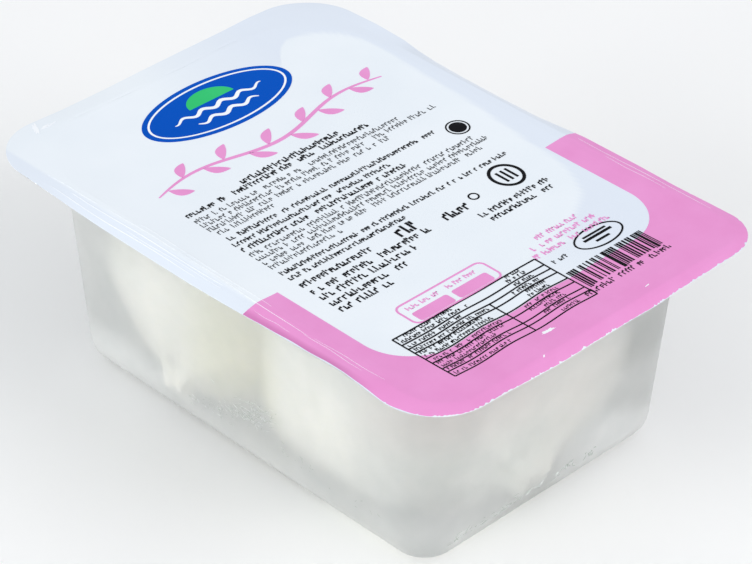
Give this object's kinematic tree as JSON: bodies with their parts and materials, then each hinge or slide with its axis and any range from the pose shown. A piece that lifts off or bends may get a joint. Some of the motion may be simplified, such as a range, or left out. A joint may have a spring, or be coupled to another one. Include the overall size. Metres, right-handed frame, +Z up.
{
  "type": "sealed burrata pack",
  "caption": "Sealed milky plastic tray with sloping walls and a printed peel film lid, holding burrata cheeses in cloudy liquid.",
  "frame": {"origin": "middle of the tray's flat base, at the surface it stands on", "axes": "+Z up, +Y along the long side to the end with the blue label, +X to the label's right"},
  "size_m": [0.112, 0.1586, 0.061],
  "materials": {
    "milky_plastic": "milky, see-through, satin",
    "printed_film": "smooth, soft gloss, white with pink and blue fields",
    "fresh_cheese": "moist, soft sheen",
    "cloudy_liquid": "cloudy"
  },
  "bodies": {
    "root": {"tray": "milky_plastic", "lid_film": "printed_film", "burrata_back": "fresh_cheese", "burrata_front": "fresh_cheese", "liquid": "cloudy_liquid"}
  },
  "joints": []
}
